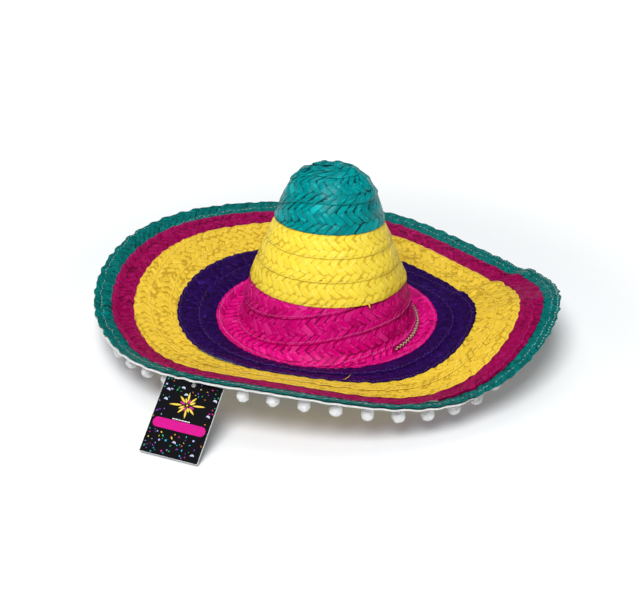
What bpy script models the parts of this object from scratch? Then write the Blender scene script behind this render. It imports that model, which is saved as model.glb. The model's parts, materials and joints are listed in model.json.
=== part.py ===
"""Striped straw sombrero: sewn plaits of palm straw, a pom-pom trim under the rim and a swing tag."""

import bmesh
import bpy
import numpy as np
from mathutils import Matrix, Vector

# Reference surface of the hat, in metres: the underside of the straw, turned round the Z axis.
# Each point is (radius, height above the head opening).
TIP_CENTRE = (0.0, 0.1722)
TIP_FLAT = (0.020, 0.1706)
TIP_EDGE = (0.0345, 0.1630)
SHOULDER = (0.0465, 0.1443)
TEAL_HEM = (0.0553, 0.1188)
YELLOW_HEM = (0.0803, 0.0540)
CROWN_FOOT = (0.0890, 0.0200)
FOOT_CURVE = (0.0925, 0.0075)
HEAD_RING = (0.1000, 0.0010)
MAGENTA_HEM = (0.1186, 0.0070)
PURPLE_HEM = (0.1589, 0.0140)
YELLOW_BRIM_HEM = (0.2030, 0.0245)
MAGENTA_BRIM_HEM = (0.2259, 0.0312)
RIM = (0.2425, 0.0363)
OUTLINE = (
    TIP_CENTRE, TIP_FLAT, TIP_EDGE, SHOULDER, TEAL_HEM, YELLOW_HEM, CROWN_FOOT,
    FOOT_CURVE, HEAD_RING, MAGENTA_HEM, PURPLE_HEM, YELLOW_BRIM_HEM, MAGENTA_BRIM_HEM, RIM,
)

# Waves of the brim: (waves round the rim, height at the rim, direction of a crest in degrees).
BRIM_TILT = (1, 0.0081, -129)
BRIM_WAVES = ((2, 0.0054, -42), (3, 0.0072, 0), (4, 0.0071, -15), (5, 0.0018, -13))
WAVE_REACH = 0.83  # share of the brim's width at which the waves are fully grown
# Waves of the rim's outline seen from above, given the same way.
PLAN_WAVES = ((1, 0.0031, 150), (2, 0.0050, -37), (3, 0.0011, -10))
# Bend of the crown, as tilt per metre of height towards +X and towards +Y.
CROWN_LEAN = (0.31, 0.63)

# Straw plait.
PLAIT_THICKNESS = 0.00085
OVERLAP = 0.0035  # hidden under the row before
ROW_GAP = 0.00037  # air between two rows where they overlap
PLAIT_RISE = (PLAIT_THICKNESS + ROW_GAP) / 0.74  # rise of a row's outer edge over the next row's inner edge
TIP_HOLE = 0.0015  # radius left at the centre of the coil
LANE = 126  # degrees over which a plait moves out by one row
TAPER = 27  # degrees over which a lifted edge comes down again
STEP = 9  # degrees between two cross-sections

# Pom-pom tape, sewn under the rim.
TAPE_INSET = 0.0010  # rim edge to the tape's outer edge
TAPE_STRAY = 0.0095  # how much further in the tape is sewn on the hat's left side
STRAY_MIDDLE = 355  # degrees, middle of that stretch
STRAY_REACH = (36, 58)  # degrees from its middle, to where it is full and to where it ends
TAPE_WIDTH = 0.0125
TAPE_THICKNESS = 0.0010
GAP = 0.0003

# Pom-poms on short stems.
POM_COUNT = 50
POM_FIRST = 5.9  # degrees
POM_RADIUS = 0.0065
POM_SIDES = 8
POM_RINGS = 5
STEM_RADIUS = 0.0007
STEM_LENGTH = 0.0012
POM_INSET = 0.0105  # tape's outer edge to the stem
STEM_GAP = 0.0005  # tape to the stem, room to swing in

# Swing tag, and the nylon pin that it hangs on.
TAG_DIRECTION = 239.3  # degrees round the rim
TAG_YAW = -22.0  # heading of the tag's width, degrees from +X
TAG_SLOPE = 40.0  # degrees below level
TAG_WIDTH = 0.0590
TAG_LENGTH = 0.0740
TAG_THICKNESS = 0.0008
TAG_HOLE_RADIUS = 0.0019
TAG_HOLE_INSET = 0.0036  # top edge to the hole's centre
PIN_INSET = 0.0010  # tape's outer edge to the pin
PIN_DROP = 0.0047  # tape to the centre of the tag's hole
PIN_RADIUS = 0.0005
PIN_HEAD_RADIUS = 0.0016
PIN_HEAD_HEIGHT = 0.0008
BEAD_RADIUS = 0.0024
BEAD_DROP = 0.0050  # hole's centre to the bead's centre

# Colours.
TEAL = (0.004, 0.215, 0.195)
YELLOW = (0.78, 0.53, 0.035)
MAGENTA = (0.55, 0.004, 0.165)
PURPLE = (0.045, 0.010, 0.110)
WHITE = (0.87, 0.87, 0.85)
BLACK = (0.012, 0.012, 0.014)
CLEAR = (0.80, 0.80, 0.80)


def profile_table(count=24):
    """Distances along the outline, with the radius and height there, on a smooth curve."""
    points = np.array(OUTLINE)
    chord = np.linalg.norm(np.diff(points, axis=0), axis=1)
    knots = np.concatenate([[0.0], np.cumsum(chord)])
    slopes = np.gradient(points, knots, axis=0)
    slopes[0] = (1.0, 0.0)
    rows = []
    for i, length in enumerate(chord):
        for t in np.linspace(0.0, 1.0, count, endpoint=False):
            here = (2 * t**3 - 3 * t**2 + 1) * points[i] + (3 * t**2 - 2 * t**3) * points[i + 1]
            bend = (t**3 - 2 * t**2 + t) * slopes[i] + (t**3 - t**2) * slopes[i + 1]
            rows.append(here + bend * length)
    rows.append(points[-1])
    rows = np.array(rows)
    along = np.concatenate([[0.0], np.cumsum(np.linalg.norm(np.diff(rows, axis=0), axis=1))])
    at_knot = along[::count]
    return along, rows[:, 0], rows[:, 1], dict(zip(OUTLINE, at_knot))


ALONG, RADII, HEIGHTS, AT = profile_table()
END = ALONG[-1]


def smooth(value):
    value = min(1.0, max(0.0, value))
    return value * value * (3 - 2 * value)


def wave_sum(waves, angle):
    return sum(size * np.cos(n * (angle - np.radians(crest))) for n, size, crest in waves)


def surface(along, angle):
    """Point of the reference surface at a distance from the tip's centre and an angle in radians."""
    radius = np.interp(along, ALONG, RADII)
    height = np.interp(along, ALONG, HEIGHTS)
    if along > END:
        radius += along - END
    share = (radius - HEAD_RING[0]) / (RIM[0] - HEAD_RING[0])
    if along > AT[HEAD_RING]:
        radius += share * wave_sum(PLAN_WAVES, angle)
        height += share * wave_sum((BRIM_TILT,), angle)
        height += smooth(share / WAVE_REACH) * wave_sum(BRIM_WAVES, angle)
        return Vector((radius * np.cos(angle), radius * np.sin(angle), height))
    over = height - HEAD_RING[1]
    x, y = radius * np.cos(angle), radius * np.sin(angle)
    height -= over * (CROWN_LEAN[0] * x + CROWN_LEAN[1] * y)
    x += CROWN_LEAN[0] * over**2 / 2
    y += CROWN_LEAN[1] * over**2 / 2
    return Vector((x, y, height))


def normal(along, angle):
    """Outward normal of the surface."""
    reach = 0.0004
    turn = 0.01
    low = max(along - reach, 1e-4)
    out = surface(along + reach, angle) - surface(low, angle)
    round_ = surface(max(along, 1e-3), angle + turn) - surface(max(along, 1e-3), angle - turn)
    return out.cross(round_).normalized()


def lifted(along, angle, rise):
    return surface(along, angle) + normal(along, angle) * rise


def stack(visible):
    """1 where a row is so narrow that three rows lie on each other, 0 where it is wide."""
    return 1.0 - smooth(visible / (3 * OVERLAP))


class Plait:
    """One plait, sewn round clockwise from above. Its rows shingle outwards."""

    def __init__(self, name, start, end, rows, join, spans, colour):
        self.name = name
        self.start = AT[start]
        self.end = AT[end]
        self.rows = rows
        self.join = join
        self.spans = spans
        self.colour = colour
        self.pitch = (self.end - self.start) / rows
        self.next = None

    def lane(self, turn):
        return smooth(turn / LANE)

    def edges(self, total):
        """Inner and outer edge of the plait, as distances from the tip, after so many degrees."""
        row = int(total // 360)
        moved = self.pitch * (row - 1 + self.lane(total - 360 * row))
        inner = self.start + max(moved, 0.0) - OVERLAP
        outer = min(self.start + moved + self.pitch, self.end)
        return max(inner, TIP_HOLE), outer

    def lift_by_next(self, angle):
        """How far the start of the next plait, tucked under this one's hem, lifts the hem."""
        if self.next is None:
            return 0.0
        turn = (self.next.join - angle + TAPER) % 360 - TAPER
        if turn < 0:
            return smooth(1 + turn / TAPER)
        return stack(self.next.pitch * self.next.lane(turn)) if turn < LANE else 0.0

    def lift_by_end(self, total):
        """How far this plait's own end, tucked under its last full row, lifts that row."""
        turn = total - 360 * (self.rows - 1)
        if turn < 0 or turn > LANE + TAPER:
            return 0.0
        if turn > LANE:
            return smooth(1 - (turn - LANE) / TAPER)
        return stack(self.pitch * (1 - self.lane(turn)))

    def rises(self, total):
        """Height of the plait's inner and outer edge over the reference surface."""
        row = int(total // 360)
        lane = self.lane(total - 360 * row)
        inner = 0.0
        if row == 0:
            inner = stack(self.pitch * lane)
        if row == self.rows:
            inner = stack(self.pitch * (1 - lane))
        outer = 1.0 + self.lift_by_end(total)
        if total >= 360 * (self.rows - 1) + LANE or row == self.rows:
            outer = max(outer, 1.0 + self.lift_by_next((self.join - total) % 360))
        return inner * PLAIT_RISE, outer * PLAIT_RISE

    def section(self, total):
        """Closed cross-section of the plait: along the underside, and back along the top."""
        angle = np.radians(self.join - total)
        inner, outer = self.edges(total)
        low, high = self.rises(total)
        bottom, top = [], []
        for share in np.linspace(0.0, 1.0, self.spans + 1):
            along = inner + (outer - inner) * share
            rise = low + (high - low) * share
            bottom.append(lifted(along, angle, rise))
            top.append(lifted(along, angle, rise + PLAIT_THICKNESS))
        return bottom + top[::-1]

    def first(self):
        return 3 * STEP if self.start == 0 else 2 * STEP

    def build(self):
        last = 360 * self.rows + LANE
        count = (last - self.first()) // STEP
        sections = [self.section(self.first() + STEP * i) for i in range(count + 1)]
        return swept(self.name, sections, self.colour)


def material(name, colour, roughness, metallic=0.0):
    made = bpy.data.materials.new(name)
    made.use_nodes = True
    shader = made.node_tree.nodes["Principled BSDF"]
    shader.inputs["Base Color"].default_value = (*colour, 1.0)
    shader.inputs["Roughness"].default_value = roughness
    shader.inputs["Metallic"].default_value = metallic
    made.diffuse_color = (*colour, 1.0)
    return made


def object_from(bm, name, colour, roughness, smooth_angle=40):
    bmesh.ops.recalc_face_normals(bm, faces=bm.faces)
    mesh = bpy.data.meshes.new(name)
    bm.to_mesh(mesh)
    bm.free()
    mesh.shade_smooth()
    mesh.set_sharp_from_angle(angle=np.radians(smooth_angle))
    mesh.materials.append(material(name, colour, roughness))
    made = bpy.data.objects.new(name, mesh)
    bpy.context.scene.collection.objects.link(made)
    return made


def swept(name, sections, colour, closed=False, roughness=0.55):
    """Closed solid through a list of cross-sections, in a ring or with two end faces."""
    bm = bmesh.new()
    rings = [[bm.verts.new(point) for point in section] for section in sections]
    pairs = list(zip(rings, rings[1:]))
    if closed:
        pairs.append((rings[-1], rings[0]))
    for ring, after in pairs:
        for i in range(len(ring)):
            j = (i + 1) % len(ring)
            bm.faces.new((ring[i], ring[j], after[j], after[i]))
    if not closed:
        bm.faces.new(rings[0])
        bm.faces.new(rings[-1])
    return object_from(bm, name, colour, roughness)


def tape_edge(angle):
    """Distance from the tip of the tape's outer edge."""
    away = abs((np.degrees(angle) - STRAY_MIDDLE + 180) % 360 - 180)
    full, ends = STRAY_REACH
    return END - TAPE_INSET - TAPE_STRAY * smooth((ends - away) / (ends - full))


def tape_section(angle):
    """Rectangle of the tape, laid against the underside of the brim."""
    outer = tape_edge(angle)
    inner = outer - TAPE_WIDTH
    top = -GAP
    return [
        lifted(inner, angle, top - TAPE_THICKNESS),
        lifted(outer, angle, top - TAPE_THICKNESS),
        lifted(outer, angle, top),
        lifted(inner, angle, top),
    ]


def build_tape():
    angles = np.radians(np.arange(0, 360, STEP))
    return swept("pom_pom_tape", [tape_section(a) for a in angles], WHITE, True, 0.9)


def under_tape(inset, angle, gap=GAP):
    """Point just under the tape, on the straight stretch between two of its cross-sections."""
    step = np.radians(STEP)
    before = np.floor(angle / step) * step
    drop = -GAP - TAPE_THICKNESS - gap
    near, far = (lifted(tape_edge(a) - inset, a, drop) for a in (before, before + step))
    return near.lerp(far, (angle - before) / step)


def turned(outline, foot_height, sides):
    """Solid turned round Z: a flat top on the first point, and a foot closed at its own height."""
    bm = bmesh.new()
    rings = []
    for radius, height in outline:
        spots = [2 * np.pi * i / sides for i in range(sides)]
        rings.append([bm.verts.new((radius * np.cos(a), radius * np.sin(a), height)) for a in spots])
    for ring, after in zip(rings, rings[1:]):
        for i in range(sides):
            j = (i + 1) % sides
            bm.faces.new((ring[i], ring[j], after[j], after[i]))
    bm.faces.new(rings[0])
    foot = bm.verts.new((0.0, 0.0, foot_height))
    for i in range(sides):
        bm.faces.new((rings[-1][i], rings[-1][(i + 1) % sides], foot))
    return bm


def ball_outline(radius, centre, stem, rings):
    """Points down a ball's side, from where its stem enters it."""
    turns = np.linspace(np.arcsin(stem / radius), np.pi, rings + 2)[:-1]
    return [(radius * np.sin(t), centre + radius * np.cos(t)) for t in turns]


def pom_mesh():
    """Pom-pom and stem, with the origin at the top of the stem."""
    centre = -STEM_LENGTH - POM_RADIUS
    outline = [(STEM_RADIUS, 0.0)] + ball_outline(POM_RADIUS, centre, STEM_RADIUS, POM_RINGS)
    return turned(outline, centre - POM_RADIUS, POM_SIDES)


def build_poms():
    first = object_from(pom_mesh(), "pom_pom_01", WHITE, 0.95)
    poms = [first]
    for i in range(1, POM_COUNT):
        copy = bpy.data.objects.new(f"pom_pom_{i + 1:02d}", first.data)
        bpy.context.scene.collection.objects.link(copy)
        poms.append(copy)
    for i, pom in enumerate(poms):
        angle = np.radians(POM_FIRST + 360 * i / POM_COUNT)
        pom.location = under_tape(POM_INSET, angle, STEM_GAP)
        pom.rotation_euler = (0.0, 0.0, angle)


def pin_top():
    return under_tape(PIN_INSET, np.radians(TAG_DIRECTION))


def hinge_point():
    """Centre of the tag's hole, on the pin."""
    return pin_top() - Vector((0.0, 0.0, PIN_DROP))


def tag_frame():
    """Placement of the tag: X along its width, Y up its length, Z out of its face."""
    heading = Matrix.Rotation(np.radians(TAG_YAW), 4, "Z")
    return Matrix.Translation(hinge_point()) @ heading @ Matrix.Rotation(np.radians(TAG_SLOPE), 4, "X")


def build_tag():
    """Card with a punched hole, hung at the hole's centre."""
    bpy.ops.mesh.primitive_cube_add(size=1.0)
    card = bpy.context.object
    card.name = card.data.name = "swing_tag"
    middle = Vector((0.0, TAG_HOLE_INSET - TAG_LENGTH / 2, 0.0))
    size = Matrix.Diagonal((TAG_WIDTH, TAG_LENGTH, TAG_THICKNESS, 1.0))
    card.data.transform(Matrix.Translation(middle) @ size)
    card.data.materials.append(material("swing_tag", BLACK, 0.35))
    card.matrix_world = tag_frame()
    bpy.ops.mesh.primitive_cylinder_add(vertices=16, radius=TAG_HOLE_RADIUS, depth=0.01)
    punch = bpy.context.object
    punch.name = "tag_hole_cutter"
    punch.matrix_world = tag_frame()
    punch.hide_render = True
    punch.display_type = "WIRE"
    cut = card.modifiers.new("hole", "BOOLEAN")
    cut.object = punch
    cut.operation = "DIFFERENCE"


def build_pin():
    """Nylon pin: a small flat head against the tape, a thin shank, and a bead under the tag."""
    bead = -PIN_DROP - BEAD_DROP
    outline = [
        (PIN_HEAD_RADIUS, 0.0),
        (PIN_HEAD_RADIUS, -PIN_HEAD_HEIGHT),
        (PIN_RADIUS, -PIN_HEAD_HEIGHT - PIN_RADIUS),
    ]
    outline += ball_outline(BEAD_RADIUS, bead, PIN_RADIUS, 4)
    pin = object_from(turned(outline, bead - BEAD_RADIUS, 10), "tag_pin", CLEAR, 0.3)
    pin.location = pin_top() - Vector((0.0, 0.0, GAP))


def build_plaits():
    plaits = [
        Plait("crown_plait_teal", TIP_CENTRE, TEAL_HEM, 3, 306, 4, TEAL),
        Plait("crown_plait_yellow", TEAL_HEM, YELLOW_HEM, 3, 117, 2, YELLOW),
        Plait("crown_plait_magenta", YELLOW_HEM, MAGENTA_HEM, 3, 315, 6, MAGENTA),
        Plait("brim_plait_purple", MAGENTA_HEM, PURPLE_HEM, 2, 99, 1, PURPLE),
        Plait("brim_plait_yellow", PURPLE_HEM, YELLOW_BRIM_HEM, 2, 234, 1, YELLOW),
        Plait("brim_plait_magenta", YELLOW_BRIM_HEM, MAGENTA_BRIM_HEM, 1, 63, 1, MAGENTA),
        Plait("rim_plait_teal", MAGENTA_BRIM_HEM, RIM, 1, 207, 1, TEAL),
    ]
    for plait, after in zip(plaits, plaits[1:]):
        plait.next = after
    for plait in plaits:
        plait.build()


def clear_scene():
    for old in list(bpy.data.objects):
        bpy.data.objects.remove(old)


clear_scene()
build_plaits()
build_tape()
build_poms()
build_tag()
build_pin()
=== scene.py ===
import json
import math

import bmesh
import bpy
import numpy as np
from mathutils import Euler, Matrix, Vector, noise


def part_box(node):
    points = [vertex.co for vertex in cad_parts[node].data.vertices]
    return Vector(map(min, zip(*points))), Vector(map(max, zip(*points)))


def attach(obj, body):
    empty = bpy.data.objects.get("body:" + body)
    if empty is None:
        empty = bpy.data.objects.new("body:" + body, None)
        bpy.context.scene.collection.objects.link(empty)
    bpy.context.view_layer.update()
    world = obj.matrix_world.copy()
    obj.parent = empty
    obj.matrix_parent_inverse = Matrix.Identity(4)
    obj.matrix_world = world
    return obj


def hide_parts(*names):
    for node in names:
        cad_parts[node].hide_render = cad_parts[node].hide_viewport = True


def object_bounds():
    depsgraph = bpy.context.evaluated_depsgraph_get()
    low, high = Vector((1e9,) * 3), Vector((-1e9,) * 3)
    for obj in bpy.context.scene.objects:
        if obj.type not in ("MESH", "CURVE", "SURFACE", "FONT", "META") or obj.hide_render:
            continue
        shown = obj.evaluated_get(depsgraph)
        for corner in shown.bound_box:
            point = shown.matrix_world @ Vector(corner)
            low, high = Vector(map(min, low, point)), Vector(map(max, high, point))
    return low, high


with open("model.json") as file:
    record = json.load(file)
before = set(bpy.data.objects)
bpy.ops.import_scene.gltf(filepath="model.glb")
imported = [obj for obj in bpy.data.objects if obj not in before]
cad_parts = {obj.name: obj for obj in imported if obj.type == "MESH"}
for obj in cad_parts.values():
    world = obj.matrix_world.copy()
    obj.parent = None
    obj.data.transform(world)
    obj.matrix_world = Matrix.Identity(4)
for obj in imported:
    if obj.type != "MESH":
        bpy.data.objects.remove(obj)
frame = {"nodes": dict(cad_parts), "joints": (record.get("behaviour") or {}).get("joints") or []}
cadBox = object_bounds()
joints = {joint["child"]: joint for joint in frame["joints"]}
chance = np.random.default_rng(11)
mm = 0.001


# the hat's form: outline, waves, lean and layers are the frame's, the finer folds lie on top of them

hatForm = {
    "outline": (  # radius and height of the straw's underside, from the tip to the rim
        (0.0, 0.1722), (0.020, 0.1706), (0.0345, 0.1630), (0.0465, 0.1443),
        (0.0553, 0.1188), (0.0803, 0.0540), (0.0890, 0.0200), (0.0925, 0.0075),
        (0.1000, 0.0010), (0.1186, 0.0070), (0.1589, 0.0140), (0.2030, 0.0245),
        (0.2259, 0.0312), (0.2425, 0.0363),
    ),
    "headRing": 8,  # point of the outline where the crown turns into the brim
    "tilt": ((1, 0.0081, -129),),  # waves round, height at the rim, crest in degrees
    "waves": ((2, 0.0054, -42), (3, 0.0072, 0), (4, 0.0071, -15), (5, 0.0018, -13)),
    "waveReach": 0.83,
    "plan": ((1, 0.0031, 150), (2, 0.0050, -37), (3, 0.0011, -10)),
    "lean": (0.31, 0.63),
    "thickness": 0.85 * mm,
    "rise": 1.22 * mm / 0.74,
    "overlap": 3.5 * mm,
    "tipHole": 1.5 * mm,
    "lane": 126,  # degrees over which a plait moves out by a row
    "taper": 5,  # degrees over which a plait's end thins out
    "firstDegree": {"tip": 27, "row": 18},  # where a plait begins, after its join
    "ripple": 0.22 * mm,  # how uneven the sewn straw lies
    "crumple": 0.95 * mm, "crumpleReach": 52 * mm,  # soft dents round the tip
    "scallop": 0.50 * mm, "pucker": 0.30 * mm,  # the brim's rows drawn in by their stitches
    "creases": (  # direction, spread in degrees, height
        (11, 3.0, 2.6 * mm), (18, 3.6, -2.6 * mm), (-14, 4.5, 1.4 * mm), (198, 6.0, 1.2 * mm),
    ),
    "creaseTurn": 15,  # degrees a crease swings round for each metre out
}


def outlineTable(count=24):
    points = np.array(hatForm["outline"])
    chord = np.linalg.norm(np.diff(points, axis=0), axis=1)
    knots = np.concatenate([[0.0], np.cumsum(chord)])
    slopes = np.gradient(points, knots, axis=0)
    slopes[0] = (1.0, 0.0)
    rows = []
    for i, length in enumerate(chord):
        t = np.linspace(0.0, 1.0, count, endpoint=False)[:, None]
        here = (2 * t**3 - 3 * t**2 + 1) * points[i] + (3 * t**2 - 2 * t**3) * points[i + 1]
        rows.append(here + ((t**3 - 2 * t**2 + t) * slopes[i] + (t**3 - t**2) * slopes[i + 1]) * length)
    rows = np.concatenate(rows + [points[-1:]])
    along = np.concatenate([[0.0], np.cumsum(np.linalg.norm(np.diff(rows, axis=0), axis=1))])
    return along, rows[:, 0], rows[:, 1], along[::count]


alongTable, radiusTable, heightTable, knotAlong = outlineTable()
rimAlong = alongTable[-1]
ringAlong = knotAlong[hatForm["headRing"]]
ringRadius, ringHeight = hatForm["outline"][hatForm["headRing"]]
rimRadius = hatForm["outline"][-1][0]


def ease(value):
    value = np.clip(value, 0.0, 1.0)
    return value * value * (3 - 2 * value)


def waveSum(waves, angle):
    return sum(size * np.cos(n * (angle - math.radians(crest))) for n, size, crest in waves)


def hatSurface(along, angle):
    # points of the straw's underside, at distances from the tip's centre and angles in radians
    along, angle = np.broadcast_arrays(np.asarray(along, float), np.asarray(angle, float))
    radius = np.interp(along, alongTable, radiusTable) + np.maximum(along - rimAlong, 0.0)
    height = np.interp(along, alongTable, heightTable)
    share = (radius - ringRadius) / (rimRadius - ringRadius)
    onBrim = along > ringAlong
    brimRadius = radius + share * waveSum(hatForm["plan"], angle)
    brimHeight = height + share * waveSum(hatForm["tilt"], angle)
    brimHeight = brimHeight + ease(share / hatForm["waveReach"]) * waveSum(hatForm["waves"], angle)
    over = height - ringHeight
    x, y = radius * np.cos(angle), radius * np.sin(angle)
    leanX, leanY = hatForm["lean"]
    crownPoint = (x + leanX * over**2 / 2, y + leanY * over**2 / 2, height - over * (leanX * x + leanY * y))
    brimPoint = (brimRadius * np.cos(angle), brimRadius * np.sin(angle), brimHeight)
    return np.stack([np.where(onBrim, b, c) for b, c in zip(brimPoint, crownPoint)], axis=-1)


def hatNormal(along, angle):
    reach, turn = 0.4 * mm, 0.01
    out = hatSurface(along + reach, angle) - hatSurface(np.maximum(along - reach, 1e-4), angle)
    apart = np.maximum(along, mm)
    around = hatSurface(apart, angle + turn) - hatSurface(apart, angle - turn)
    normal = np.cross(out, around)
    return normal / np.linalg.norm(normal, axis=-1, keepdims=True)


def ripple(along, angle):
    # small unevenness shared by every layer, so that they keep apart
    x, y = along * np.cos(angle) / mm, along * np.sin(angle) / mm
    height = along / mm
    slow = np.sin(x / 9.0 + 1.3) * np.sin(y / 11.0 + 0.4) + np.sin(x / 5.3 - y / 7.1 + height / 13.0)
    dents = np.sin(x / 3.9 + y / 8.1 + 0.5) * np.sin(y / 4.7 - x / 9.0 + 1.2) + 0.5 * np.sin(x / 2.6 - y / 3.3)
    nearTip = ease(along / (9 * mm)) * ease(1.6 - along / hatForm["crumpleReach"])
    puckers = ease((along - ringAlong) / (40 * mm)) * np.sin(71 * angle + height / 6.0)
    total = hatForm["ripple"] * slow * ease(along / (20 * mm))
    total = total + hatForm["crumple"] * nearTip * dents + hatForm["pucker"] * puckers
    grown = ease((along - ringAlong - 25 * mm) / (60 * mm))
    for middle, spread, size in hatForm["creases"]:
        away = np.degrees(np.angle(np.exp(1j * (angle - np.radians(middle + along * hatForm["creaseTurn"])))))
        total = total + size * grown * np.exp(-((away / spread) ** 2))
    return total


def scallop(along, angle):
    # in-and-out wander of the brim's rows, also shared by every layer
    wander = np.sin(67 * angle + along / (11 * mm)) + 0.8 * np.sin(103 * angle + 2.0 - along / (17 * mm))
    return hatForm["scallop"] * ease((along - ringAlong) / (40 * mm)) * wander


def onHat(along, angle, rise):
    along = np.maximum(along + scallop(along, angle), 0.2 * mm)
    return hatSurface(along, angle) + hatNormal(along, angle) * (rise + ripple(along, angle))[..., None]


plaits = (
    # name, node, outline points where it starts and ends, rows, direction of the join
    {"name": "crown_teal", "node": "crown_plait_teal", "span": (0, 4), "rows": 3, "join": 250},
    {"name": "crown_yellow", "node": "crown_plait_yellow", "span": (4, 5), "rows": 3, "join": 117},
    {"name": "crown_magenta", "node": "crown_plait_magenta", "span": (5, 9), "rows": 3, "join": 315},
    {"name": "brim_purple", "node": "brim_plait_purple", "span": (9, 10), "rows": 2, "join": 99},
    {"name": "brim_yellow", "node": "brim_plait_yellow", "span": (10, 11), "rows": 2, "join": 234},
    {"name": "brim_magenta", "node": "brim_plait_magenta", "span": (11, 12), "rows": 1, "join": 63},
    {"name": "rim_teal", "node": "rim_plait_teal", "span": (12, 13), "rows": 1, "join": 207},
)


def stackLift(visible):
    return 1.0 - ease(visible / (3 * hatForm["overlap"]))


def layPlait(plait, after):
    # edges and heights of a plait at every degree of its way
    start, end = knotAlong[plait["span"][0]], knotAlong[plait["span"][1]]
    rows, lane, taper = plait["rows"], hatForm["lane"], hatForm["taper"]
    pitch = (end - start) / rows
    first = hatForm["firstDegree"]["tip" if start == 0 else "row"]
    total = np.arange(first, 360 * rows + lane + 1, dtype=float)
    row = np.floor(total / 360)
    inLane = ease((total - 360 * row) / lane)
    moved = pitch * (row - 1 + inLane)
    inner = np.maximum(start + np.maximum(moved, 0.0) - hatForm["overlap"], hatForm["tipHole"])
    outer = np.minimum(start + moved + pitch, end)
    low = np.where(row == 0, stackLift(pitch * inLane), 0.0)
    low = np.where(row == rows, stackLift(pitch * (1 - inLane)), low)
    turn = total - 360 * (rows - 1)
    byEnd = np.where(turn > lane, ease(1 - (turn - lane) / taper), stackLift(pitch * (1 - ease(turn / lane))))
    byEnd = np.where((turn < 0) | (turn > lane + taper), 0.0, byEnd)
    high = 1.0 + byEnd
    if after:
        afterPitch = (knotAlong[after["span"][1]] - end) / after["rows"]
        turn = (after["join"] - (plait["join"] - total) % 360 + taper) % 360 - taper
        byNext = np.where(turn < 0, ease(1 + turn / taper), stackLift(afterPitch * ease(turn / lane)))
        byNext = np.where(turn >= lane, 0.0, byNext)
        lastRow = (total >= 360 * (rows - 1) + lane) | (row == rows)
        high = np.where(lastRow, np.maximum(high, 1.0 + byNext), high)
    middle = np.interp((inner + outer) / 2, alongTable, radiusTable)
    arc = np.concatenate([[0.0], np.cumsum(np.radians((middle[1:] + middle[:-1]) / 2))])
    rise = hatForm["rise"]
    return {
        "total": total, "inner": inner, "outer": outer, "low": low * rise, "high": high * rise, "arc": arc,
        "base": start + moved - hatForm["overlap"], "width": pitch + hatForm["overlap"], "rows": rows,
        "join": plait["join"], "start": start, "end": end,
    }


def placeOn(lay, along, across, lift, keep=True):
    # points at distances along the plait and across it, lifted off its middle
    total = np.interp(along, lay["arc"], lay["total"])
    angle = np.radians(lay["join"] - total)
    inner, outer = (np.interp(total, lay["total"], lay[edge]) for edge in ("inner", "outer"))
    wanted = np.interp(total, lay["total"], lay["base"]) + across
    place = np.clip(wanted, inner, outer) if keep else wanted
    share = np.clip((place - inner) / (outer - inner), 0.0, 1.05)
    low, high = (np.interp(total, lay["total"], lay[edge]) for edge in ("low", "high"))
    rise = low + (high - low) * share + hatForm["thickness"] / 2
    return onHat(place, angle, rise + lift), wanted - inner, outer - wanted


# shader groups that several materials share

def newGroup(name, inputs, outputs):
    group = bpy.data.node_groups.new(name, "ShaderNodeTree")
    for label, kind, value in inputs:
        socket = group.interface.new_socket(label, in_out="INPUT", socket_type="NodeSocket" + kind)
        if value is not None:
            socket.default_value = value
    for label, kind in outputs:
        group.interface.new_socket(label, in_out="OUTPUT", socket_type="NodeSocket" + kind)
    return group, group.nodes.new("NodeGroupInput"), group.nodes.new("NodeGroupOutput")


def addNode(tree, kind, settings=None, **inputs):
    node = tree.nodes.new("ShaderNode" + kind)
    for key, value in (settings or {}).items():
        setattr(node, key, value)
    for key, value in inputs.items():
        numbered = key[0] == "i" and key[1:].isdigit()
        socket = node.inputs[int(key[1:]) if numbered else key.replace("_", " ")]
        if isinstance(value, bpy.types.NodeSocket):
            tree.links.new(value, socket)
        else:
            socket.default_value = value
    return node


def mathNode(tree, operation, first, second=0.0, clamp=False):
    return addNode(tree, "Math", {"operation": operation, "use_clamp": clamp}, i0=first, i1=second).outputs[0]


def mixNode(tree, factor, first, second, blend="MIX"):
    node = addNode(tree, "Mix", {"data_type": "RGBA", "blend_type": blend, "clamp_result": False})
    for socket, value in ((0, factor), (6, first), (7, second)):
        if isinstance(value, bpy.types.NodeSocket):
            tree.links.new(value, node.inputs[socket])
        else:
            node.inputs[socket].default_value = value
    return node.outputs[2]


def rampNode(tree, value, low, high):
    return addNode(tree, "MapRange", {"interpolation_type": "SMOOTHSTEP"}, i0=value, i1=low, i2=high).outputs[0]


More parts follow.
